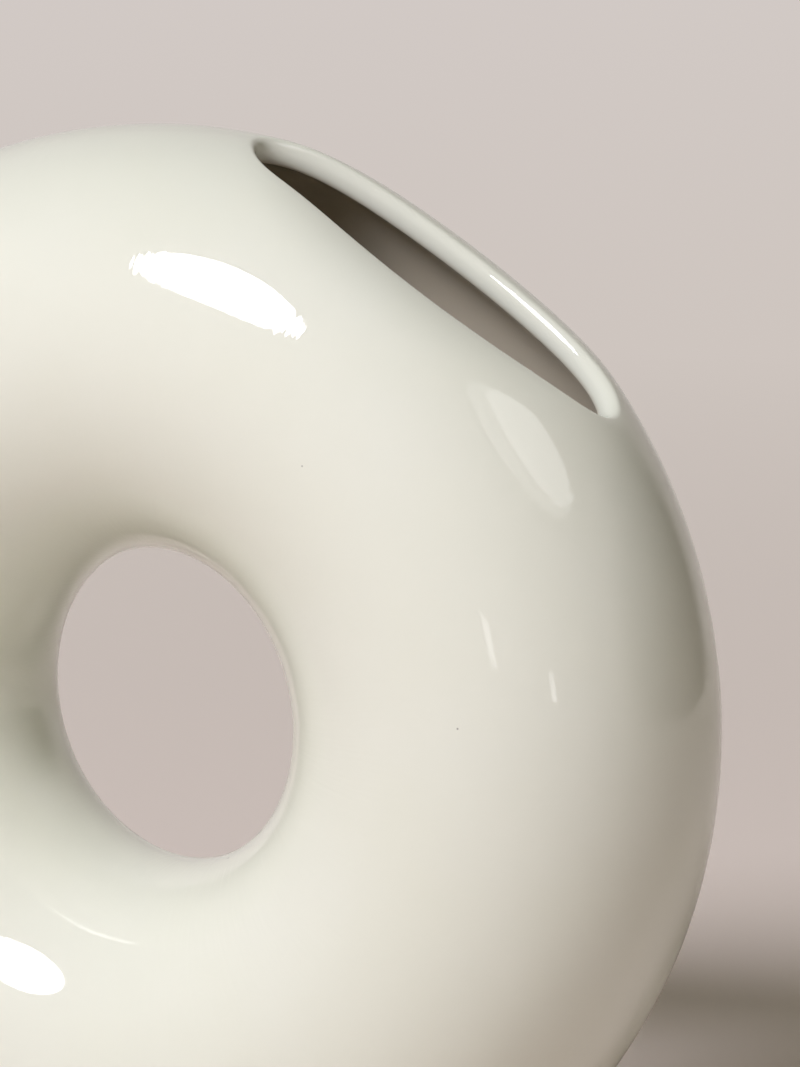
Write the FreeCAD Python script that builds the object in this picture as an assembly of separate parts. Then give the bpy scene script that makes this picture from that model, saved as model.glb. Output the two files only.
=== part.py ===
import FreeCAD, Part
import os

from FreeCAD import Vector

# Donut vase: a hollow upright ring of glazed stoneware with an oval mouth on one shoulder.
# It is moulded as a front and a rear half, joined on the ring's middle plane, and stands
# on an oval foot ring that is joined under it.
# Origin: middle of the base, on the surface that the vase stands on.
# X runs across the front, Y from the front to the back, Z up. The ring's axis lies along Y.
# All lengths are in millimetres and all angles in degrees.

# The ring: its centre line, the outside of its tube and its wall
ring_radius = 70.0
tube_radius = 40.0
wall = 5.0

# The mouth: an oval opening in a flattened shoulder, leaning from the top to the right
mouth_lean = 33.0
mouth_length = 84.0
mouth_width = 29.5
mouth_cut_depth = 7.0
shoulder_rounding = 20.0

# The base: a flat underside with a rounded edge, and an oval ring under it to stand on
base_cut_depth = 26.0
base_rounding = 10.0
foot_height = 4.0
foot_wall = 6.0
foot_inset = 1.5
foot_bevel = 0.8

# Part of the wall that the lip's rounding takes from each side of it
lip_rounding_share = 0.48

# Part of the tube's radius within which an edge counts as level
level_tolerance_share = 0.0001

# Places that follow from the driving dimensions, measured from the ring's centre
outer_reach = ring_radius + tube_radius
mouth_level = outer_reach - mouth_cut_depth
base_level = outer_reach - base_cut_depth
ring_height = base_level + foot_height
block_side = 3 * outer_reach

ring_axis = Vector(0, 1, 0)
centre = Vector(0, 0, 0)


def slab(bottom, top):
    """Block wider than the ring, between two levels."""
    corner = Vector(-block_side / 2, -block_side / 2, bottom)
    return Part.makeBox(block_side, block_side, top - bottom, corner)


def side_block(front):
    """Block that holds all of one side of the ring's middle plane."""
    start = -block_side if front else 0
    corner = Vector(-block_side / 2, start, -block_side)
    return Part.makeBox(block_side, block_side, 2 * block_side, corner)


def edges_at(shape, level):
    """Edges of a shape that lie wholly at one level."""
    near = level_tolerance_share * tube_radius
    found = []
    for edge in shape.Edges:
        box = edge.BoundBox
        if abs(box.ZMin - level) < near and abs(box.ZMax - level) < near:
            found.append(edge)
    return found


def plain_ring(section_radius):
    """Solid ring whose surface starts on its left, clear of the mouth and of the base."""
    left = Vector(-ring_radius, 0, 0)
    section = Part.makeCircle(section_radius, left, Vector(0, 0, 1))
    return Part.Face(Part.Wire(section)).revolve(centre, ring_axis, 360)


def shouldered_ring(depth):
    """Solid ring, flattened and rounded over at the top, all of it inset by a depth.

    The depth comes off the tube, the flat and the rounding alike, so two such rings
    lie one inside the other with an even wall between them.
    """
    level = mouth_level - depth
    ring = plain_ring(tube_radius - depth).common(slab(level - block_side, level))
    return ring.makeFillet(shoulder_rounding - depth, edges_at(ring, level))


def upright_oval(length, width, bottom, top):
    """Oval block between two levels."""
    oval = Part.Ellipse(Vector(0, 0, bottom), length / 2, width / 2)
    face = Part.Face(Part.Wire(oval.toShape()))
    return face.extrude(Vector(0, 0, top - bottom))


def lip_edges(shape):
    """Both rims of the mouth's opening, outside and inside the wall."""
    for face in shape.Faces:
        if isinstance(face.Surface, Part.SurfaceOfExtrusion):
            return [edge for edge in face.Edges if not edge.isSeam(face)]
    return []


def standing_skin(depth):
    """Solid ring inset by a depth, its mouth turned to the right and its base flat."""
    skin = shouldered_ring(depth)
    skin.rotate(centre, ring_axis, mouth_lean)
    level = depth - base_level
    cut = skin.common(slab(level, block_side))
    return cut.makeFillet(base_rounding - depth, edges_at(cut, level))


def body():
    """Hollow ring with a fully rounded lip, at its height above the foot's base."""
    opening = upright_oval(mouth_length, mouth_width, ring_radius, outer_reach)
    opening.rotate(centre, ring_axis, mouth_lean)
    walls = standing_skin(0).cut(standing_skin(wall)).cut(opening)
    ring = walls.makeFillet(lip_rounding_share * wall, lip_edges(walls))
    ring.translate(Vector(0, 0, ring_height))
    return ring


def body_half(whole, front):
    """One moulded half of the body, with flat faces where it meets the other half."""
    return whole.common(side_block(front))


def flat_half_length():
    """Half the length of the flat under the ring, inside its rounded edge."""
    return ((outer_reach - base_rounding) ** 2 - (base_level - base_rounding) ** 2) ** 0.5


def flat_half_width():
    """Half the width of the flat under the ring, inside its rounded edge."""
    drop = base_level - base_rounding - ring_radius
    return ((tube_radius - base_rounding) ** 2 - drop**2) ** 0.5


def foot_ring():
    """Oval foot, open in the middle, with bevelled edges where it stands."""
    length = 2 * (flat_half_length() - foot_inset)
    width = 2 * (flat_half_width() - foot_inset)
    outside = upright_oval(length, width, 0, foot_height)
    inside = upright_oval(length - 2 * foot_wall, width - 2 * foot_wall, 0, foot_height)
    ring = outside.cut(inside)
    return ring.makeChamfer(foot_bevel, edges_at(ring, 0))


whole_body = body()
nodes = {
    "front_shell": body_half(whole_body, True),
    "rear_shell": body_half(whole_body, False),
    "foot_ring": foot_ring(),
}

os.makedirs("parts", exist_ok=True)
for name, shape in nodes.items():
    shape.exportStep("parts/" + name + ".step")
    print(name, len(shape.Solids), "solid", round(shape.Volume / 1000, 1), "cm3")
print("flat under the ring", round(2 * flat_half_length(), 1), "by", round(2 * flat_half_width(), 1))
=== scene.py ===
"""Donut vase: the looks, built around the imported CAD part.

The vase is a hollow upright ring of stoneware under a glossy off-white glaze, with an oval
mouth on one shoulder and a flat base on a bare clay foot ring.
Lengths are in metres and angles in radians, in the part's own frame: X runs across the front,
Y from the front to the back and Z up, from the middle of the base.
"""

import logging
import math
from dataclasses import dataclass, field
from enum import Enum
from typing import Any

import bmesh
import bpy
import numpy as np
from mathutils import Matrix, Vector


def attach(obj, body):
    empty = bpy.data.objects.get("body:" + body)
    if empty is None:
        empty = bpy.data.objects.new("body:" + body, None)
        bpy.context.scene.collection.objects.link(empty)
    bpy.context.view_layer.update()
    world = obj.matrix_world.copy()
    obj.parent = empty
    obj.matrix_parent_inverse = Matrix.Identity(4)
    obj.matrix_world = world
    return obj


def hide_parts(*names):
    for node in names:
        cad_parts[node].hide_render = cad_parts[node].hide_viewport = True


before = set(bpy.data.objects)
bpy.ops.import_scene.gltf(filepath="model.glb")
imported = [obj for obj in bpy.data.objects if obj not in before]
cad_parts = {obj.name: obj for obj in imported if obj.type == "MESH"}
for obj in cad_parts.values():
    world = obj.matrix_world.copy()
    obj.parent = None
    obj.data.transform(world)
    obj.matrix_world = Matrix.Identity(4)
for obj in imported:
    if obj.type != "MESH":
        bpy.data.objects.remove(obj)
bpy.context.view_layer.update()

log = logging.getLogger("donut_vase")

MM = 0.001
BODY = "root"
LINER_AND_SHADE_MARK = "liner_and_shade"

Points = np.ndarray
Numbers = np.ndarray


class LampShape(Enum):
    """Outlines that a lamp can have."""

    ROUND = "ELLIPSE"
    OBLONG = "RECTANGLE"

    @property
    def filled_share(self) -> float:
        """Share of the rectangle round it that the outline fills."""
        return math.pi / 4 if self is LampShape.ROUND else 1.0


def linear_colour(hex_code: str) -> tuple[float, float, float, float]:
    """Turn an sRGB hex colour into linear light.

    Args:
        hex_code: Colour as six hex digits after a hash.

    Returns:
        Linear red, green, blue and an alpha of 1.
    """
    channels = [int(hex_code[i:i + 2], 16) / 255 for i in (1, 3, 5)]
    linear = [c / 12.92 if c <= 0.04045 else ((c + 0.055) / 1.055) ** 2.4 for c in channels]
    return (linear[0], linear[1], linear[2], 1.0)


def add_node(tree: bpy.types.NodeTree, kind: str, sockets: dict[Any, Any] | None = None,
             **settings: Any) -> bpy.types.Node:
    """Add a node with its settings, values and links.

    Args:
        tree: Node tree that takes the node.
        kind: Blender's name of the node's type.
        sockets: Value or linked output of each input, by the input's name or number.
        **settings: Properties of the node itself.

    Returns:
        The new node.
    """
    node = tree.nodes.new(kind)
    for name, value in settings.items():
        setattr(node, name, value)
    for key, value in (sockets or {}).items():
        if isinstance(value, bpy.types.NodeSocket):
            tree.links.new(value, node.inputs[key])
        else:
            node.inputs[key].default_value = value
    return node


def blank_material(name: str) -> bpy.types.Material:
    """Material whose node tree is still empty."""
    made = bpy.data.materials.new(name)
    made.use_nodes = True
    made.node_tree.nodes.clear()
    return made


def seen_directly(tree: bpy.types.NodeTree) -> bpy.types.NodeSocket:
    """Tell what the camera, gloss and glass see from what only gives light.

    Args:
        tree: Node tree of the paper or of the air.

    Returns:
        A value of 1 where it is seen and 0 where it only gives light.
    """
    ray = add_node(tree, "ShaderNodeLightPath").outputs
    mirrored = add_node(tree, "ShaderNodeMath", {
        0: ray["Is Camera Ray"], 1: ray["Is Glossy Ray"]}, operation="MAXIMUM")
    seen = add_node(tree, "ShaderNodeMath", {
        0: mirrored.outputs["Value"], 1: ray["Is Transmission Ray"]}, operation="MAXIMUM")
    return seen.outputs["Value"]


def mesh_object(name: str, points: Points, faces: list[list[int]]) -> bpy.types.Object:
    """Make a smooth mesh object, with every face turned outwards.

    Args:
        name: Name of the object and of its mesh.
        points: One row of three metres per vertex.
        faces: Vertex numbers of each face.

    Returns:
        The object, linked to the scene.
    """
    mesh = bpy.data.meshes.new(name)
    mesh.from_pydata(points.tolist(), [], faces)
    work = bmesh.new()
    work.from_mesh(mesh)
    bmesh.ops.recalc_face_normals(work, faces=work.faces)
    work.to_mesh(mesh)
    work.free()
    mesh.shade_smooth()
    made = bpy.data.objects.new(name, mesh)
    bpy.context.scene.collection.objects.link(made)
    return made


def way_out(azimuth: float, elevation: float) -> Vector:
    """Direction from the vase to something round it.

    Args:
        azimuth: Angle round the vase, from its front towards its right.
        elevation: Angle above level.

    Returns:
        A vector of length 1.
    """
    return Vector((math.sin(azimuth) * math.cos(elevation),
                   -math.cos(azimuth) * math.cos(elevation), math.sin(elevation)))


def bridge(first: Numbers, second: Numbers) -> list[list[int]]:
    """Four-sided faces between two closed rows of vertices.

    Args:
        first: Vertex numbers of one row.
        second: Vertex numbers of the next row, of the same length.

    Returns:
        One face for each step along the rows.
    """
    first_on = np.roll(first, -1)
    second_on = np.roll(second, -1)
    return np.stack([first, first_on, second_on, second], axis=1).tolist()


@dataclass(frozen=True)
class RingForm:
    """The plain hollow ring that every piece starts from."""

    ring_radius: float = 70 * MM
    tube_radius: float = 40 * MM
    wall: float = 5 * MM
    centre_height: float = 88 * MM

    def surface(self, around: Points, across: Points, reach: Points | float) -> Points:
        """Points of the ring, measured from its centre.

        Args:
            around: Angle round the ring, from the top towards the right.
            across: Angle round the tube, from its outer side towards the back.
            reach: Distance from the tube's centre line.

        Returns:
            One row per point.
        """
        radius = self.ring_radius + reach * np.cos(across)
        return np.stack([radius * np.sin(around), reach * np.sin(across),
                         radius * np.cos(around)], axis=-1)


@dataclass(frozen=True)
class FlatPlace:
    """A place where the ring is cut flat and a ball has rounded the edge over.

    The skin there keeps one distance, the ball's radius, from a core: a thinner ring that is
    cut off square. That gives the outside, the inside and the lip from the same few lines.
    """

    ring: RingForm
    direction: float
    level: float
    ball: float
    edge_steps: int = 2880
    points_at_once: int = 500

    @property
    def core_level(self) -> float:
        """Level at which the core is cut off."""
        return self.level - self.ball

    @property
    def core_tube(self) -> float:
        """Radius of the core's tube."""
        return self.ring.tube_radius - self.ball

    def turned(self, points: Points, back: bool = False) -> Points:
        """Turn points so that this place faces up, or back again.

        Args:
            points: Points measured from the ring's centre.
            back: True to turn from this place's own frame into the ring's.

        Returns:
            The turned points.
        """
        angle = self.direction if back else -self.direction
        cos, sin = math.cos(angle), math.sin(angle)
        x, y, z = points[..., 0], points[..., 1], points[..., 2]
        return np.stack([x * cos + z * sin, y, z * cos - x * sin], axis=-1)

    def edge_curve(self) -> Points:
        """Points on the rim where the core is cut off."""
        half_length = math.sqrt((self.ring.ring_radius + self.core_tube) ** 2
                                - self.core_level ** 2)
        turn = np.linspace(0, 2 * math.pi, self.edge_steps, endpoint=False)
        along = half_length * np.sin(turn)
        radius = np.hypot(along, self.core_level) - self.ring.ring_radius
        aside = np.sqrt(np.maximum(self.core_tube ** 2 - radius ** 2, 0))
        return np.stack([along, aside * np.sign(np.cos(turn))], axis=-1)

    def nearest_on_edge(self, plan: Points) -> Points:
        """Nearest point of the core's rim to each point, seen from above."""
        edge = self.edge_curve()
        found = np.empty_like(plan)
        for start in range(0, len(plan), self.points_at_once):
            part = slice(start, start + self.points_at_once)
            gap = ((plan[part, None, :] - edge[None, :, :]) ** 2).sum(axis=2)
            found[part] = edge[gap.argmin(axis=1)]
        return found

    def core_and_normal(self, points: Points) -> tuple[Points, Points]:
        """Nearest point of the core to each point, and the direction away from it.

        Args:
            points: Points outside the core, in this place's own frame.

        Returns:
            The core's points and unit directions from them.
        """
        around = np.hypot(points[:, 0], points[:, 2])
        outward = np.stack([points[:, 0] / around, np.zeros(len(points)),
                            points[:, 2] / around], axis=1)
        line = outward * self.ring.ring_radius
        away = points - line
        away /= np.linalg.norm(away, axis=1)[:, None]
        core = line + away * self.core_tube
        cut = core[:, 2] > self.core_level
        under = np.column_stack([points[:, :2], np.full(len(points), self.core_level)])
        radius = np.hypot(np.hypot(points[:, 0], self.core_level) - self.ring.ring_radius,
                          points[:, 1])
        flat = cut & (radius <= self.core_tube)
        core[flat] = under[flat]
        edge = cut & ~flat
        if edge.any():
            core[edge, :2] = self.nearest_on_edge(points[edge, :2])
            core[edge, 2] = self.core_level
        normal = points - core
        normal /= np.linalg.norm(normal, axis=1)[:, None]
        return core, normal

    def over_plan(self, plan: Points, depth: float, rounds: int = 40) -> tuple[Points, Points]:
        """Core points and directions of the skin straight over a plan.

        Args:
            plan: Places along and across this flat.
            depth: How far the skin lies inside the outer one.
            rounds: Times that the place is corrected.

        Returns:
            The core's points and unit directions from them.
        """
        guess = np.column_stack([plan, np.full(len(plan), self.level)])
        for _ in range(rounds):
            core, normal = self.core_and_normal(guess)
            skin = core + normal * (self.ball - depth)
            guess[:, :2] += plan - skin[:, :2]
            guess[:, 2] = skin[:, 2]
        return self.core_and_normal(guess)


@dataclass
class HandFinish:
    """Slight unevenness that fettling and a thick glaze leave on a cast form."""

    least: float = 0.03 * MM
    depth: float = 0.10 * MM
    shortest: float = 22 * MM
    longest: float = 70 * MM
    waves: int = 14
    seed: int = 11

    def inset(self, points: Points) -> Points:
        """How far each point lies inside the perfect form, never outside it."""
        random = np.random.default_rng(self.seed)
        total = np.zeros(len(points))
        for _ in range(self.waves):
            heading = random.normal(size=3)
            heading /= np.linalg.norm(heading)
            length = random.uniform(self.shortest, self.longest)
            phase = random.uniform(0, 2 * math.pi)
            total += np.sin(points @ heading * (2 * math.pi / length) + phase)
        likely_most = 2 * self.waves ** 0.5
        share = 0.5 + 0.5 * total / likely_most
        return self.least + self.depth * np.clip(share, 0, 1)


@dataclass(frozen=True)
class StonewareGlaze:
    """Clear-over-white stoneware glaze, dipped and fired glossy.

    A thick glassy coat gives sharp reflections over a soft off-white, with a faint green in
    the shade. It pools slightly, settles in fine ridges round the tube that crinkle the ends
    of a highlight, and leaves a rare pinhole, drawn as a dark spot of painted shade for a pit
    that isn't modelled. Inside, and over the lip's inner third, it is drawn warmer and a little
    darker: thin glaze over warm clay, and partly painted shade of the dim hollow.
    Ridges come and go in patches of noise, between the values calm_patch and ridged_patch.
    """

    body_colour: str = "#e5e6dc"
    pooled_colour: str = "#e1e2d3"
    # Warmer inner colour: thin glaze over clay, and partly painted shade of the dim hollow.
    liner_and_shade_colour: str = "#e0d5c2"
    # Pinhole spots are painted shade of pits that aren't modelled.
    pinhole_shade_colour: str = "#3a352c"
    ior: float = 1.52
    roughness: float = 0.035
    cloud_size: float = 38 * MM
    ridge_size: float = 1.3 * MM
    ridge_height: float = 0.023 * MM
    ridge_break: float = 0.10
    ridge_patch: float = 16 * MM
    calm_patch: float = 0.30
    ridged_patch: float = 0.50
    swell_size: float = 11 * MM
    swell_height: float = 0.010 * MM
    pinhole_spacing: float = 19 * MM
    pinhole_radius: float = 0.32 * MM
    pinhole_core: float = 0.5
    pinhole_shade_darkness: float = 0.85

    def material(self) -> bpy.types.Material:
        """The finished glaze."""
        made = blank_material("stoneware_glaze")
        tree = made.node_tree
        place = add_node(tree, "ShaderNodeTexCoord").outputs["Object"]
        shader = add_node(tree, "ShaderNodeBsdfPrincipled", {
            "Base Color": self.colour(tree, place), "Roughness": self.roughness,
            "IOR": self.ior, "Normal": self.relief(tree, place)})
        add_node(tree, "ShaderNodeOutputMaterial", {"Surface": shader.outputs["BSDF"]})
        return made

    def colour(self, tree: bpy.types.NodeTree,
               place: bpy.types.NodeSocket) -> bpy.types.NodeSocket:
        """Colour of the glaze: cloudy outside, warmer inside for thin glaze and partly painted
        shade, and painted shade in a pinhole.

        Args:
            tree: Node tree of the glaze.
            place: Place on the vase, in metres.

        Returns:
            The colour.
        """
        cloud = add_node(tree, "ShaderNodeTexNoise", {
            "Vector": place, "Scale": 1 / self.cloud_size, "Detail": 3.0, "Roughness": 0.5})
        tint = add_node(tree, "ShaderNodeMix", {
            0: cloud.outputs["Fac"], 6: linear_colour(self.body_colour),
            7: linear_colour(self.pooled_colour)}, data_type="RGBA")
        # Pinhole spots: dark painted shade standing for tiny pits, with no dent in the surface.
        pores = add_node(tree, "ShaderNodeTexVoronoi", {
            "Vector": place, "Scale": 1 / self.pinhole_spacing, "Randomness": 1.0})
        radius = self.pinhole_radius / self.pinhole_spacing
        hole = add_node(tree, "ShaderNodeMapRange", {
            "Value": pores.outputs["Distance"], "From Min": radius,
            "From Max": radius * self.pinhole_core,
            "To Min": 0.0, "To Max": self.pinhole_shade_darkness})
        # Inner colour: thin glaze, and partly painted shade of the dim hollow.
        thin = add_node(tree, "ShaderNodeAttribute", attribute_name=LINER_AND_SHADE_MARK)
        coat = add_node(tree, "ShaderNodeMix", {
            0: thin.outputs["Fac"], 6: tint.outputs[2],
            7: linear_colour(self.liner_and_shade_colour)}, data_type="RGBA")
        spotted = add_node(tree, "ShaderNodeMix", {
            0: hole.outputs["Result"], 6: coat.outputs[2],
            7: linear_colour(self.pinhole_shade_colour)}, data_type="RGBA")
        return spotted.outputs[2]

    def relief(self, tree: bpy.types.NodeTree,
               place: bpy.types.NodeSocket) -> bpy.types.NodeSocket:
        """Slow swells of the glaze, with patches of fine ridges over them.

        Args:
            tree: Node tree of the glaze.
            place: Place on the vase, in metres.

        Returns:
            The surface's direction.
        """
        swell = add_node(tree, "ShaderNodeTexNoise", {
            "Vector": place, "Scale": 1 / self.swell_size, "Detail": 0.0})
        low = add_node(tree, "ShaderNodeBump", {
            "Height": swell.outputs["Fac"], "Distance": self.swell_height, "Strength": 1.0})
        patch = add_node(tree, "ShaderNodeTexNoise", {
            "Vector": place, "Scale": 1 / self.ridge_patch, "Detail": 1.0})
        strength = add_node(tree, "ShaderNodeMapRange", {
            "Value": patch.outputs["Fac"], "From Min": self.calm_patch,
            "From Max": self.ridged_patch})
        high = add_node(tree, "ShaderNodeBump", {
            "Height": self.ridges(tree, place), "Distance": self.ridge_height,
            "Strength": strength.outputs["Result"], "Normal": low.outputs["Normal"]})
        return high.outputs["Normal"]

    def ridges(self, tree: bpy.types.NodeTree,
               place: bpy.types.NodeSocket) -> bpy.types.NodeSocket:
        """Height of fine ridges that run round the tube, broken up a little.

        Args:
            tree: Node tree of the glaze.
            place: Place on the vase, in metres.

        Returns:
            The height, from 0 to 1.
        """
        ring = RingForm()
        centred = add_node(tree, "ShaderNodeVectorMath", {
            0: place, 1: (0, 0, ring.centre_height)}, operation="SUBTRACT")
        flat = add_node(tree, "ShaderNodeVectorMath", {
            0: centred.outputs["Vector"], 1: (1, 0, 1)}, operation="MULTIPLY")
        heading = add_node(tree, "ShaderNodeVectorMath", {
            0: flat.outputs["Vector"]}, operation="NORMALIZE")
        on_ring = add_node(tree, "ShaderNodeVectorMath", {
            0: heading.outputs["Vector"], "Scale": ring.ring_radius}, operation="SCALE")
        broken = add_node(tree, "ShaderNodeVectorMath", {
            0: place, 1: (self.ridge_break,) * 3, 2: on_ring.outputs["Vector"]},
            operation="MULTIPLY_ADD")
        noise = add_node(tree, "ShaderNodeTexNoise", {
            "Vector": broken.outputs["Vector"], "Scale": 1 / self.ridge_size,
            "Detail": 1.0, "Roughness": 0.4})
        return noise.outputs["Fac"]


@dataclass(frozen=True)
class FiredClay:
    """Bare stoneware, wiped clean of glaze before firing.

    It is matt, warm and slightly speckled, with a fine grain where the foot was sponged. The
    glaze ends on it in a thin soft line above the table. Its grit is 0.1 to 0.3 mm across in
    the real clay, and grain_size is drawn coarser, so that it shows.
    """

    clay_colour: str = "#cfc0a8"
    toasted_colour: str = "#b9a384"
    speck_colour: str = "#7d6a52"
    roughness: float = 0.82
    glaze: StonewareGlaze = field(default_factory=StonewareGlaze)
    glaze_line: float = 2.3 * MM
    glaze_edge: float = 0.3 * MM
    line_waver: float = 0.5 * MM
    patch_size: float = 14 * MM
    grain_size: float = 0.45 * MM
    grain_height: float = 0.04 * MM
    speck_spacing: float = 1.8 * MM
    speck_radius: float = 0.288 * MM
    speck_core: float = 0.5
    speck_darkness: float = 0.7

    def material(self) -> bpy.types.Material:
        """The finished clay, with the glaze's edge on it."""
        made = blank_material("fired_clay")
        tree = made.node_tree
        place = add_node(tree, "ShaderNodeTexCoord").outputs["Object"]
        glazed = self.glazed_share(tree, place)
        colour = add_node(tree, "ShaderNodeMix", {
            0: glazed, 6: self.bare_colour(tree, place),
            7: linear_colour(self.glaze.pooled_colour)}, data_type="RGBA")
        rough = add_node(tree, "ShaderNodeMapRange", {
            "Value": glazed, "To Min": self.roughness, "To Max": self.glaze.roughness})
        grain = add_node(tree, "ShaderNodeTexNoise", {
            "Vector": place, "Scale": 1 / self.grain_size, "Detail": 3.0})
        bare = add_node(tree, "ShaderNodeMath", {0: 1.0, 1: glazed}, operation="SUBTRACT")
        tooth = add_node(tree, "ShaderNodeBump", {
            "Height": grain.outputs["Fac"], "Distance": self.grain_height,
            "Strength": bare.outputs["Value"]})
        shader = add_node(tree, "ShaderNodeBsdfPrincipled", {
            "Base Color": colour.outputs[2], "Roughness": rough.outputs["Result"],
            "IOR": self.glaze.ior, "Normal": tooth.outputs["Normal"]})
        add_node(tree, "ShaderNodeOutputMaterial", {"Surface": shader.outputs["BSDF"]})
        return made

    def bare_colour(self, tree: bpy.types.NodeTree,
                    place: bpy.types.NodeSocket) -> bpy.types.NodeSocket:
        """Colour of the clay alone, toasted in patches and speckled.

        Args:
            tree: Node tree of the clay.
            place: Place on the foot, in metres.

        Returns:
            The colour.
        """
        patch = add_node(tree, "ShaderNodeTexNoise", {
            "Vector": place, "Scale": 1 / self.patch_size, "Detail": 4.0})
        clay = add_node(tree, "ShaderNodeMix", {
            0: patch.outputs["Fac"], 6: linear_colour(self.clay_colour),
            7: linear_colour(self.toasted_colour)}, data_type="RGBA")
        specks = add_node(tree, "ShaderNodeTexVoronoi", {
            "Vector": place, "Scale": 1 / self.speck_spacing})
        radius = self.speck_radius / self.speck_spacing
        speck = add_node(tree, "ShaderNodeMapRange", {
            "Value": specks.outputs["Distance"], "From Min": radius,
            "From Max": radius * self.speck_core,
            "To Min": 0.0, "To Max": self.speck_darkness})
        spotted = add_node(tree, "ShaderNodeMix", {
            0: speck.outputs["Result"], 6: clay.outputs[2],
            7: linear_colour(self.speck_colour)}, data_type="RGBA")
        return spotted.outputs[2]

    def glazed_share(self, tree: bpy.types.NodeTree,
                     place: bpy.types.NodeSocket) -> bpy.types.NodeSocket:
        """How far the glaze covers the clay, above a line that wavers a little.

        Args:
            tree: Node tree of the clay.
            place: Place on the foot, in metres.

        Returns:
            A value from 0, bare, to 1, glazed.
        """
        height = add_node(tree, "ShaderNodeSeparateXYZ", {"Vector": place}).outputs["Z"]
        waver = add_node(tree, "ShaderNodeTexNoise", {
            "Vector": place, "Scale": 1 / self.patch_size, "Detail": 2.0})
        line = add_node(tree, "ShaderNodeMath", {
            0: waver.outputs["Fac"], 1: self.line_waver, 2: height},
            operation="MULTIPLY_ADD")
        glazed = add_node(tree, "ShaderNodeMapRange", {
            "Value": line.outputs["Value"], "From Min": self.glaze_line,
            "From Max": self.glaze_line + self.glaze_edge})
        return glazed.outputs["Result"]


@dataclass
class Spine:
    """What both skins of the body are made from, in the ring's frame.

    Each vertex of the outer skin has one of the inner skin straight under it. Both lie on one
    line from a point of the core, and the outer one is a ball's radius away from it. The loops
    are closed rows of vertex numbers, from the mouth's patch to the lip, and the grid gives
    the vertex number of each place of the plain grid, or -1 where there is none.
    """

    core: Points
    normal: Points
    ball: Points
    loops: list[Numbers]
    grid: Numbers


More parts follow.
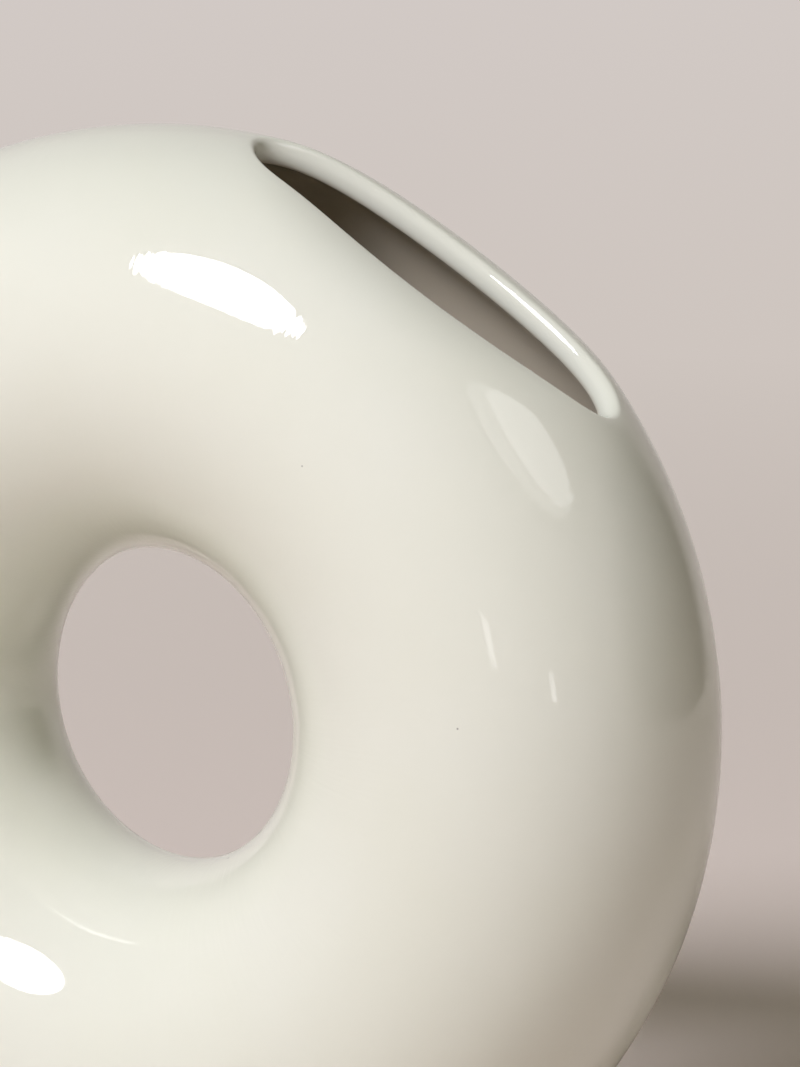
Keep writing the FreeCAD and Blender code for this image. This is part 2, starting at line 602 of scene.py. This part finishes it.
@dataclass
class GlazedBody:
    """The ring's body: its outside, lip and inside as one closed skin.

    The mouth is an oval whose front edge swells out near its left end, at swell_place round
    the oval. The lip reaches lip_fullness times half the wall over the wall's edge.
    """

    ring: RingForm = field(default_factory=RingForm)
    mouth_lean: float = math.radians(33)
    mouth_level: float = 103 * MM
    mouth_half_length: float = 42 * MM
    mouth_half_width: float = 14.75 * MM
    mouth_ball: float = 20 * MM
    base_level: float = 84 * MM
    base_ball: float = 10 * MM
    steps_around: int = 256
    steps_across: int = 112
    mouth_steps_around: int = 26
    mouth_steps_across: int = 16
    mouth_rows: int = 11
    lip_steps: int = 12
    lip_fullness: float = 0.60
    swell_place: float = math.radians(216)
    swell_spread: float = math.radians(17)
    swell_reach: float = 1.6 * MM
    evening_rounds: int = 80
    unevenness: HandFinish = field(default_factory=HandFinish)

    def __post_init__(self) -> None:
        """Set up the two flat places."""
        self.mouth = FlatPlace(self.ring, self.mouth_lean, self.mouth_level, self.mouth_ball)
        self.base = FlatPlace(self.ring, math.pi, self.base_level, self.base_ball)

    def lip_line(self) -> tuple[Points, Points]:
        """Core points and directions along the middle of the lip, in the mouth's frame."""
        turn = np.linspace(0, 2 * math.pi, self.lip_count, endpoint=False)
        cos, sin = np.cos(turn), np.sin(turn)
        opening = np.stack([self.mouth_half_length * cos, self.mouth_half_width * sin], axis=1)
        outward = np.stack([cos / self.mouth_half_length, sin / self.mouth_half_width], axis=1)
        outward /= np.linalg.norm(outward, axis=1)[:, None]
        depth = self.ring.wall / 2
        swell = np.exp(-((turn - self.swell_place) / self.swell_spread) ** 2)
        reach = depth * self.lip_fullness + self.swell_reach * swell
        return self.mouth.over_plan(opening + outward * reach[:, None], depth)

    @property
    def lip_count(self) -> int:
        """How many vertices one row round the mouth has."""
        return 4 * (self.mouth_steps_around + self.mouth_steps_across)

    def patch_rim(self) -> Points:
        """Grid places, in steps, round the patch that holds the mouth."""
        far, side = self.mouth_steps_around, self.mouth_steps_across
        rim = [(far, j) for j in range(side)]
        rim += [(i, side) for i in range(far, -far, -1)]
        rim += [(-far, j) for j in range(side, -side, -1)]
        rim += [(i, -side) for i in range(-far, far)]
        rim += [(far, j) for j in range(-side, 0)]
        return np.array(rim)

    def patch_rows(self, lip: Points) -> Points:
        """Angles and reach of the rows between the patch's rim and the lip.

        Args:
            lip: The lip's outer edge, in the mouth's frame.

        Returns:
            Angle round the ring, angle round the tube and reach, by row and place.
        """
        rim = self.patch_rim() * (2 * math.pi / np.array([self.steps_around, self.steps_across]))
        outside = np.column_stack([rim, np.full(len(rim), self.ring.tube_radius)])
        radius = np.hypot(lip[:, 0], lip[:, 2]) - self.ring.ring_radius
        inside = np.stack([np.arctan2(lip[:, 0], lip[:, 2]), np.arctan2(lip[:, 1], radius),
                           np.hypot(radius, lip[:, 1])], axis=1)
        share = np.linspace(0, 1, self.mouth_rows + 1)[:, None, None]
        rows = outside[None] * (1 - share) + inside[None] * share
        for _ in range(self.evening_rounds):
            near = np.roll(rows, 1, axis=1) + np.roll(rows, -1, axis=1)
            rows[1:-1] = (rows[:-2] + rows[2:] + near[1:-1]) / 4
        return rows

    def grid_places(self) -> tuple[Points, Points]:
        """Angles of the plain grid, and which of its vertices the mouth's patch leaves."""
        i, j = np.meshgrid(np.arange(self.steps_around), np.arange(self.steps_across),
                           indexing="ij")
        near_i = np.minimum(i, self.steps_around - i)
        near_j = np.minimum(j, self.steps_across - j)
        kept = (near_i >= self.mouth_steps_around) | (near_j >= self.mouth_steps_across)
        angles = np.stack([i * 2 * math.pi / self.steps_around,
                           j * 2 * math.pi / self.steps_across], axis=-1)
        return angles, kept

    def grid_faces(self, numbers: Numbers) -> list[list[int]]:
        """Faces of the plain grid outside the mouth's patch.

        Args:
            numbers: Vertex number of each grid place, or -1 where there is none.

        Returns:
            One face for each whole cell.
        """
        i, j = np.meshgrid(np.arange(self.steps_around), np.arange(self.steps_across),
                           indexing="ij")
        far, side = self.mouth_steps_around, self.mouth_steps_across
        across = (j + side) % self.steps_across < 2 * side
        around = (i + far) % self.steps_around < 2 * far
        cells = ~(across & around)
        corners = np.stack([numbers, np.roll(numbers, -1, axis=0),
                            np.roll(numbers, (-1, -1), axis=(0, 1)),
                            np.roll(numbers, -1, axis=1)], axis=-1)
        return corners[cells].tolist()

    def spine(self) -> Spine:
        """Work out what both skins are made from."""
        angles, kept = self.grid_places()
        numbers = np.where(kept, np.cumsum(kept).reshape(kept.shape) - 1, -1)
        plain = angles[kept]
        lip_core, lip_normal = self.lip_line()
        lip = lip_core + lip_normal * self.mouth_ball
        rows = self.patch_rows(lip)
        rim = self.patch_rim()
        loops = [numbers[rim[:, 0], rim[:, 1]]]
        start = int(kept.sum())
        for _ in range(self.mouth_rows):
            loops.append(np.arange(start, start + len(rim)))
            start += len(rim)
        inner = rows[1:-1].reshape(-1, 3)
        around = np.concatenate([plain[:, 0], inner[:, 0]])
        across = np.concatenate([plain[:, 1], inner[:, 1]])
        reach = np.concatenate([np.full(len(plain), self.ring.tube_radius), inner[:, 2]])
        starts = self.ring.surface(around, across, reach)
        core, normal = self.mouth.core_and_normal(starts)
        core = self.mouth.turned(np.concatenate([core, lip_core]), back=True)
        normal = self.mouth.turned(np.concatenate([normal, lip_normal]), back=True)
        ball = np.full(len(core), self.mouth_ball)
        outside = self.base.turned(core + normal * ball[:, None])
        low = outside[:, 2] > self.base.core_level
        base_core, base_normal = self.base.core_and_normal(outside[low])
        core[low] = self.base.turned(base_core, back=True)
        normal[low] = self.base.turned(base_normal, back=True)
        ball[low] = self.base_ball
        return Spine(core, normal, ball, loops, numbers)

    def build(self) -> bpy.types.Object:
        """Make the closed body.

        Returns:
            The body's object, in the part's frame.
        """
        spine = self.spine()
        loops = spine.loops
        outside = spine.core + spine.normal * spine.ball[:, None]
        outside -= spine.normal * self.unevenness.inset(outside)[:, None]
        inside = outside - spine.normal * self.ring.wall
        lip = loops[-1]
        lip_rows = self.lip_rows(outside[lip], inside[lip], spine.normal[lip])
        points = np.concatenate([outside, inside, lip_rows.reshape(-1, 3)])
        points[:, 2] += self.ring.centre_height
        shift = len(outside)
        faces = self.grid_faces(spine.grid)
        for row, after in zip(loops, loops[1:]):
            faces += bridge(row, after)
        faces += [[n + shift for n in reversed(face)] for face in faces]
        edge = 2 * shift
        lip_loops = [lip]
        for _ in range(self.lip_steps - 1):
            lip_loops.append(np.arange(edge, edge + self.lip_count))
            edge += self.lip_count
        lip_loops.append(lip + shift)
        for row, after in zip(lip_loops, lip_loops[1:]):
            faces += bridge(row, after)
        body = mesh_object("glazed_body", points, faces)
        self.mark_liner_and_shade(body, shift)
        return body

    def mark_liner_and_shade(self, body: bpy.types.Object, outer_count: int) -> None:
        """Mark where the warmer inner colour goes, for thin glaze and partly painted shade: 0
        outside, 1 inside, turning over in the lip's last third.

        Args:
            body: The finished body.
            outer_count: How many vertices the outer skin has.
        """
        turned = np.arange(1, self.lip_steps) / self.lip_steps
        lip = np.clip(3 * turned - 2, 0, 1)
        marks = np.concatenate([np.zeros(outer_count), np.ones(outer_count),
                                np.repeat(lip, self.lip_count)])
        layer = body.data.attributes.new(LINER_AND_SHADE_MARK, "FLOAT", "POINT")
        layer.data.foreach_set("value", marks)

    def lip_rows(self, outer: Points, inner: Points, normal: Points) -> Points:
        """Rows of points over the rounded lip, from the outside to the inside.

        Args:
            outer: The lip's edge on the outside.
            inner: The lip's edge on the inside.
            normal: Direction out of the wall at each.

        Returns:
            The rows between the two edges.
        """
        middle = (outer + inner) / 2
        along = np.roll(middle, -1, axis=0) - np.roll(middle, 1, axis=0)
        towards = np.cross(along, normal)
        towards /= np.linalg.norm(towards, axis=1)[:, None]
        if (towards * (middle.mean(axis=0) - middle)).sum() < 0:
            towards = -towards
        radius = self.ring.wall / 2
        over = radius * self.lip_fullness
        turns = np.linspace(0, math.pi, self.lip_steps + 1)[1:-1]
        return np.stack([middle + radius * math.cos(turn) * normal
                         + over * math.sin(turn) * towards for turn in turns])

    def dress(self, piece: bpy.types.Object, glaze: bpy.types.Material) -> None:
        """Glaze the body and tie it to the CAD model."""
        piece.data.materials.append(glaze)
        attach(piece, BODY)
        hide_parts("front_shell", "rear_shell")


@dataclass
class FootRing:
    """The oval foot under the base, flared softly into it above and rounded below."""

    half_length: float = 65.76 * MM
    half_width: float = 28.23 * MM
    height: float = 4 * MM
    wall: float = 6 * MM
    standing_round: float = 1.1 * MM
    flare: float = 1.3 * MM
    buried: float = 1.0 * MM
    steps_around: int = 256
    arc_steps: int = 7

    def profile(self) -> Points:
        """Section of the foot: distance in from the outer wall, and height."""
        quarter = np.linspace(math.pi / 2, 0, self.arc_steps)
        flare_out = np.stack([-self.flare * (1 - np.cos(quarter)),
                              self.height - self.flare * (1 - np.sin(quarter))], axis=1)
        outer = np.concatenate([flare_out, self.outer_corner()])
        inner = outer[::-1] * np.array([-1, 1]) + np.array([self.wall, 0])
        top = np.array([[self.wall + self.flare, self.height + self.buried],
                        [-self.flare, self.height + self.buried]])
        return np.concatenate([outer, inner, top])

    def outer_corner(self) -> Points:
        """The rounded corner on which the foot stands, from its wall to its underside."""
        quarter = np.linspace(0, math.pi / 2, self.arc_steps)
        radius = self.standing_round
        return np.stack([radius * (1 - np.cos(quarter)), radius * (1 - np.sin(quarter))], axis=1)

    def build(self) -> bpy.types.Object:
        """Sweep the section round the oval.

        Returns:
            The foot's object, in the part's frame.
        """
        profile = self.profile()
        turn = np.linspace(0, 2 * math.pi, self.steps_around, endpoint=False)
        rows = []
        loops = []
        for number, (inset, height) in enumerate(profile):
            rows.append(np.stack([(self.half_length - inset) * np.cos(turn),
                                  (self.half_width - inset) * np.sin(turn),
                                  np.full(len(turn), height)], axis=1))
            loops.append(np.arange(self.steps_around) + number * self.steps_around)
        faces = []
        for row, after in zip(loops, loops[1:] + loops[:1]):
            faces += bridge(row, after)
        return mesh_object("foot_ring_clay", np.concatenate(rows), faces)

    def dress(self, piece: bpy.types.Object, clay: bpy.types.Material) -> None:
        """Give the foot its bare clay and tie it to the CAD model."""
        piece.data.materials.append(clay)
        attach(piece, BODY)
        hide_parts("foot_ring")


@dataclass(frozen=True)
class Lamp:
    """One plain lamp, placed by its direction from the ring's centre.

    Its azimuth and elevation are in degrees. Its radiance is how bright its face is, where 1
    looks white.
    """

    name: str
    azimuth: float
    elevation: float
    distance: float
    width: float
    height: float
    radiance: float
    colour: str = "#ffffff"
    shape: LampShape = LampShape.ROUND
    lights_surfaces: bool = True
    shows_in_gloss: bool = True

    def place(self, target: Vector) -> bpy.types.Object:
        """Set the lamp up, facing the target.

        Args:
            target: Point that the lamp faces.

        Returns:
            The lamp's object.
        """
        away = way_out(math.radians(self.azimuth), math.radians(self.elevation))
        light = bpy.data.lights.new(self.name, "AREA")
        light.shape = self.shape.value
        light.size = self.width
        light.size_y = self.height
        area = self.width * self.height * self.shape.filled_share
        light.energy = self.radiance * math.pi * area
        light.color = linear_colour(self.colour)[:3]
        made = bpy.data.objects.new(self.name, light)
        made.location = target + away * self.distance
        made.rotation_euler = (-away).to_track_quat("-Z", "Y").to_euler()
        made.visible_camera = False
        made.visible_diffuse = self.lights_surfaces
        made.visible_glossy = self.shows_in_gloss
        bpy.context.scene.collection.objects.link(made)
        return made


@dataclass(frozen=True)
class SeamlessPaper:
    """Matt background paper.

    Round the vase it is plain paper, which takes the light and the shadow. Further off, what
    the camera and the gloss see of it keeps an even pale tone, whatever the lamps do there.
    """

    near_colour: str = "#e4d7d1"
    middle_colour: str = "#cec5bf"
    far_colour: str = "#d2cac6"
    lit_radius: float = 0.30
    even_radius: float = 1.10
    far_radius: float = 2.2
    roughness: float = 0.3

    def material(self) -> bpy.types.Material:
        """The finished paper."""
        made = blank_material("seamless_paper")
        tree = made.node_tree
        place = add_node(tree, "ShaderNodeTexCoord").outputs["Object"]
        distance = add_node(tree, "ShaderNodeVectorMath", {0: place}, operation="LENGTH")
        far = add_node(tree, "ShaderNodeMapRange", {
            "Value": distance.outputs["Value"], "From Min": self.lit_radius,
            "From Max": self.even_radius})
        rise = add_node(tree, "ShaderNodeMapRange", {
            "Value": distance.outputs["Value"], "From Min": self.even_radius,
            "From Max": self.far_radius})
        tone = add_node(tree, "ShaderNodeMix", {
            0: rise.outputs["Result"], 6: linear_colour(self.middle_colour),
            7: linear_colour(self.far_colour)}, data_type="RGBA")
        share = add_node(tree, "ShaderNodeMath", {
            0: seen_directly(tree), 1: far.outputs["Result"]}, operation="MULTIPLY")
        lit = add_node(tree, "ShaderNodeBsdfDiffuse", {
            "Color": linear_colour(self.near_colour), "Roughness": self.roughness})
        even = add_node(tree, "ShaderNodeEmission", {
            "Color": tone.outputs[2], "Strength": 1.0})
        blend = add_node(tree, "ShaderNodeMixShader", {
            0: share.outputs["Value"], 1: lit.outputs["BSDF"], 2: even.outputs["Emission"]})
        add_node(tree, "ShaderNodeOutputMaterial", {"Surface": blend.outputs["Shader"]})
        return made


@dataclass(frozen=True)
class DarkSide:
    """Black felt screen for the unlit side of the room, with a soft edge.

    The camera doesn't see it. It keeps light off the vase's right side, and the glaze
    reflects it there.
    """

    azimuth: float = math.radians(130)
    distance: float = 1.0
    half_width: float = 0.85
    half_height: float = 0.52
    middle_height: float = 0.20
    felt_colour: str = "#2b2926"
    full_share: float = 0.55

    def build(self) -> bpy.types.Object:
        """Stand the screen up.

        Returns:
            The screen's object.
        """
        heading = np.array([math.sin(self.azimuth), -math.cos(self.azimuth), 0])
        aside = np.array([math.cos(self.azimuth), math.sin(self.azimuth), 0]) * self.half_width
        rise = np.array([0, 0, self.half_height])
        middle = heading * self.distance + np.array([0, 0, self.middle_height])
        points = np.array([middle - aside - rise, middle + aside - rise,
                           middle + aside + rise, middle - aside + rise])
        made = mesh_object("dark_side", points, [[0, 1, 2, 3]])
        made.data.materials.append(self.material())
        made.visible_camera = False
        return made

    def material(self) -> bpy.types.Material:
        """Felt that thins out towards the screen's edge."""
        made = blank_material("black_felt")
        tree = made.node_tree
        place = add_node(tree, "ShaderNodeTexCoord").outputs["Object"]
        middle = (self.distance * math.sin(self.azimuth),
                  -self.distance * math.cos(self.azimuth), self.middle_height)
        shares = (1 / self.half_width, 1 / self.half_width, 1 / self.half_height)
        offset = add_node(tree, "ShaderNodeVectorMath", {
            0: place, 1: middle}, operation="SUBTRACT")
        share = add_node(tree, "ShaderNodeVectorMath", {
            0: offset.outputs["Vector"], 1: shares}, operation="MULTIPLY")
        out = add_node(tree, "ShaderNodeVectorMath", {
            0: share.outputs["Vector"]}, operation="LENGTH")
        felt_share = add_node(tree, "ShaderNodeMapRange", {
            "Value": out.outputs["Value"], "From Min": 1.0, "From Max": self.full_share},
            interpolation_type="SMOOTHSTEP")
        felt = add_node(tree, "ShaderNodeBsdfDiffuse", {
            "Color": linear_colour(self.felt_colour)})
        clear = add_node(tree, "ShaderNodeBsdfTransparent")
        blend = add_node(tree, "ShaderNodeMixShader", {
            0: felt_share.outputs["Result"], 1: clear.outputs["BSDF"],
            2: felt.outputs["BSDF"]})
        add_node(tree, "ShaderNodeOutputMaterial", {"Surface": blend.outputs["Shader"]})
        return made


@dataclass
class Studio:
    """Pale seamless paper, a dark screen, plain lamps and the camera.

    The key is two lamps, because one direction doesn't give both the shadow and the highlight:
    the softbox lights and shades, and the glint shows in the gloss. The rim and the core are
    one soft panel in the gloss, and the two strips are narrow highlights.
    """

    target: Vector = field(default_factory=lambda: Vector((0, 0, 88 * MM)))
    floor_radius: float = 5.6
    curve_radius: float = 1.6
    wall_height: float = 4.0
    first_ring: float = 0.25
    floor_rings: int = 9
    bend_rings: int = 16
    turn_steps: int = 96
    paper: SeamlessPaper = field(default_factory=SeamlessPaper)
    world_colour: str = "#fdffe9"
    world_strength: float = 0.25
    fading_from: float = 0.5
    left_overhead: float = 0.4
    screen: DarkSide = field(default_factory=DarkSide)
    camera_azimuth: float = math.radians(27.5508)
    camera_elevation: float = math.radians(9.8307)
    camera_distance: float = 2.1
    lens: float = 375.05
    sensor: float = 36.0
    farthest_seen: float = 50.0
    aim: Vector = field(default_factory=lambda: Vector((35.75, 24.04, 31.56)) * MM)
    lamps: tuple[Lamp, ...] = (
        Lamp("key_softbox", -11, 39.5, 3.4, 1.36, 1.36, 22.1, "#f8f8ff", shows_in_gloss=False),
        Lamp("key_glint", -13.4, 46.2, 3.4, 1.44, 1.36, 21.6, lights_surfaces=False),
        Lamp("front_fill", 14, 2, 2.6, 1.2, 1.4, 0.66, shows_in_gloss=False),
        Lamp("side_fill", 48, 1, 2.6, 1.6, 1.2, 0.42, shows_in_gloss=False),
        Lamp("panel_rim", 81, 41.5, 2.6, 1.38, 1.22, 1.0, lights_surfaces=False),
        Lamp("panel_core", 87, 41, 2.5, 0.96, 1.02, 1.5, lights_surfaces=False),
        Lamp("near_strip", 24.2, 4.3, 2.2, 0.110, 0.200, 2.6, shape=LampShape.OBLONG),
        Lamp("side_strip", 53, 1.5, 2.2, 0.110, 0.155, 2.8, shape=LampShape.OBLONG),
    )

    def sweep(self) -> bpy.types.Object:
        """Round sheet of seamless paper that curves up far from the vase on every side."""
        bend = np.linspace(0, math.pi / 2, self.bend_rings + 1)[1:]
        flat = np.linspace(self.first_ring, self.floor_radius, self.floor_rings)
        radii = [*flat, *(self.floor_radius + self.curve_radius * np.sin(bend))]
        heights = [*np.zeros(len(flat)), *(self.curve_radius * (1 - np.cos(bend)))]
        radii.append(radii[-1])
        heights.append(self.wall_height)
        turn = np.linspace(0, 2 * math.pi, self.turn_steps, endpoint=False)
        rows = [np.zeros((1, 3))]
        loops = []
        for number, (radius, height) in enumerate(zip(radii, heights)):
            rows.append(np.stack([radius * np.cos(turn), radius * np.sin(turn),
                                  np.full(len(turn), height)], axis=1))
            loops.append(np.arange(len(turn)) + 1 + number * len(turn))
        faces = [[0, int(a), int(b)] for a, b in zip(loops[0], np.roll(loops[0], -1))]
        for row, after in zip(loops, loops[1:]):
            faces += bridge(row, after)
        made = mesh_object("paper_sweep", np.concatenate(rows), faces)
        made.data.materials.append(self.paper.material())
        return made

    def world(self) -> None:
        """Even soft light from every side, which gloss sees as the paper's tone going on up."""
        world = bpy.data.worlds.new("studio_air")
        world.use_nodes = True
        tree = world.node_tree
        tree.nodes.clear()
        air = add_node(tree, "ShaderNodeBackground", {
            "Color": linear_colour(self.world_colour), "Strength": self.world_strength})
        place = add_node(tree, "ShaderNodeTexCoord").outputs["Generated"]
        height = add_node(tree, "ShaderNodeSeparateXYZ", {"Vector": place}).outputs["Z"]
        fading = add_node(tree, "ShaderNodeMapRange", {
            "Value": height, "From Min": self.fading_from, "From Max": 1.0,
            "To Min": 1.0, "To Max": self.left_overhead})
        tone = add_node(tree, "ShaderNodeBackground", {
            "Color": linear_colour(self.paper.far_colour), "Strength": fading.outputs["Result"]})
        blend = add_node(tree, "ShaderNodeMixShader", {
            0: seen_directly(tree), 1: air.outputs["Background"],
            2: tone.outputs["Background"]})
        add_node(tree, "ShaderNodeOutputWorld", {"Surface": blend.outputs["Shader"]})
        bpy.context.scene.world = world

    def camera(self) -> bpy.types.Object:
        """Camera at the photograph's angle, with a long lens."""
        away = way_out(self.camera_azimuth, self.camera_elevation)
        data = bpy.data.cameras.new("camera")
        data.sensor_fit = "VERTICAL"
        data.sensor_height = self.sensor
        data.lens = self.lens
        data.clip_end = self.farthest_seen
        made = bpy.data.objects.new("camera", data)
        made.location = self.target + away * self.camera_distance
        towards = self.target + self.aim - made.location
        made.rotation_euler = towards.to_track_quat("-Z", "Y").to_euler()
        bpy.context.scene.collection.objects.link(made)
        bpy.context.scene.camera = made
        return made

    def build(self) -> None:
        """Set up the paper, the lamps, the air and the camera."""
        self.camera()
        self.world()
        log.info("stage: %s", self.sweep().name)
        log.info("stage: %s", self.screen.build().name)
        for lamp in self.lamps:
            log.info("lamp: %s", lamp.place(self.target).name)
        bpy.context.scene.view_settings.view_transform = "Standard"


def main() -> None:
    """Build and dress each piece in order."""
    logging.basicConfig(level=logging.INFO, format="%(name)s %(message)s")
    Studio().build()
    glaze = StonewareGlaze()
    body = GlazedBody()
    body_piece = body.build()
    body.dress(body_piece, glaze.material())
    log.info("piece: %s, %d faces", body_piece.name, len(body_piece.data.polygons))
    foot = FootRing()
    foot_piece = foot.build()
    foot.dress(foot_piece, FiredClay(glaze=glaze).material())
    log.info("piece: %s, %d faces", foot_piece.name, len(foot_piece.data.polygons))


if __name__ == "__main__":
    main()
